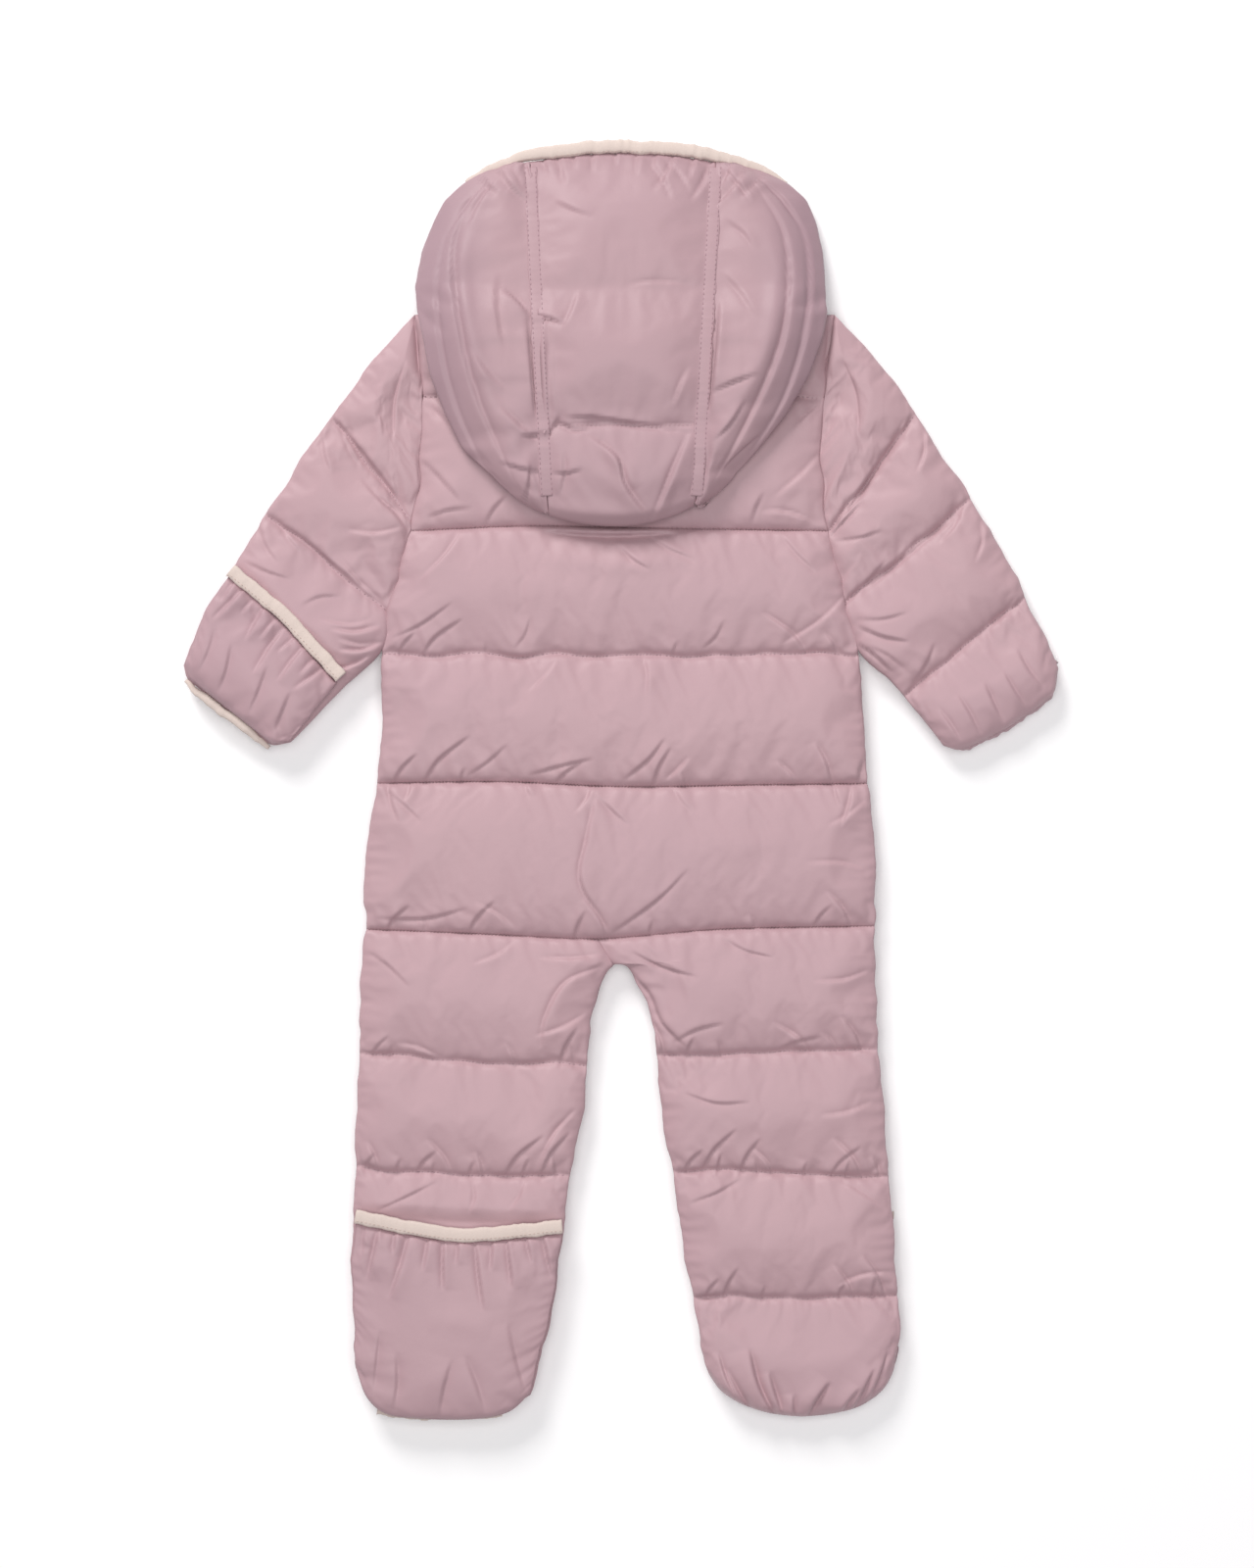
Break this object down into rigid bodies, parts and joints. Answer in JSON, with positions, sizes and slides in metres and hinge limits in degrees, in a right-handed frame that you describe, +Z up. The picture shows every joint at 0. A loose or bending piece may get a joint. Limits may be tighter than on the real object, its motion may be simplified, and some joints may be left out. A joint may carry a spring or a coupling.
{
  "type": "baby snowsuit laid flat",
  "caption": "Padded, quilted baby snowsuit lying flat with its back up, with a panelled hood, fold-over hand and foot covers with elastic edges, and a front zip.",
  "frame": {"origin": "centre of the laid-out suit's outline, on the surface that it lies on", "axes": "+Z up from the surface, out of the suit's back; +Y along the suit from the feet to the hood; +X across it, to the wearer's right"},
  "size_m": [0.5388, 0.781, 0.0416],
  "materials": {
    "shell_cloth": "soft sheen woven nylon, dusty pink",
    "hood_cloth": "soft sheen woven nylon, dusty pink",
    "cover_cloth": "soft sheen woven nylon, dusty pink",
    "elastic_binding": "matte ribbed elastic, warm cream",
    "zip_tape": "matte woven tape, dusty pink",
    "zip_metal": "satin"
  },
  "bodies": {
    "garment": {"back_yoke": "shell_cloth", "back_body": "shell_cloth", "back_seat": "shell_cloth", "back_leg_left": "shell_cloth", "back_leg_right": "shell_cloth", "front_left": "shell_cloth", "front_right": "shell_cloth", "sleeve_left_back": "shell_cloth", "sleeve_left_front": "shell_cloth", "sleeve_right_back": "shell_cloth", "sleeve_right_front": "shell_cloth", "mitten_left": "cover_cloth", "mitten_left_binding": "elastic_binding", "cuff_left_binding": "elastic_binding", "mitten_right": "cover_cloth", "mitten_right_binding": "elastic_binding", "foot_left": "cover_cloth", "foot_left_binding": "elastic_binding", "ankle_left_binding": "elastic_binding", "foot_right": "cover_cloth", "foot_right_binding": "elastic_binding", "hood_centre": "hood_cloth", "hood_side_left": "hood_cloth", "hood_side_right": "hood_cloth", "hood_band_left": "hood_cloth", "hood_band_right": "hood_cloth", "hood_binding_brim": "elastic_binding", "hood_binding_left": "elastic_binding", "hood_binding_right": "elastic_binding", "zip_tape_left": "zip_tape", "zip_tape_right": "zip_tape", "zip_chain": "zip_tape", "zip_slider": "zip_metal"},
    "zip_pull": {"zip_pull": "zip_metal"}
  },
  "joints": [
    {"name": "zip_pull_turn", "type": "hinge", "parent": "garment", "child": "zip_pull", "pos_m": [0, 0.226, 0.0051], "axis": [1, 0, 0], "range_deg": [0, 180]}
  ]
}
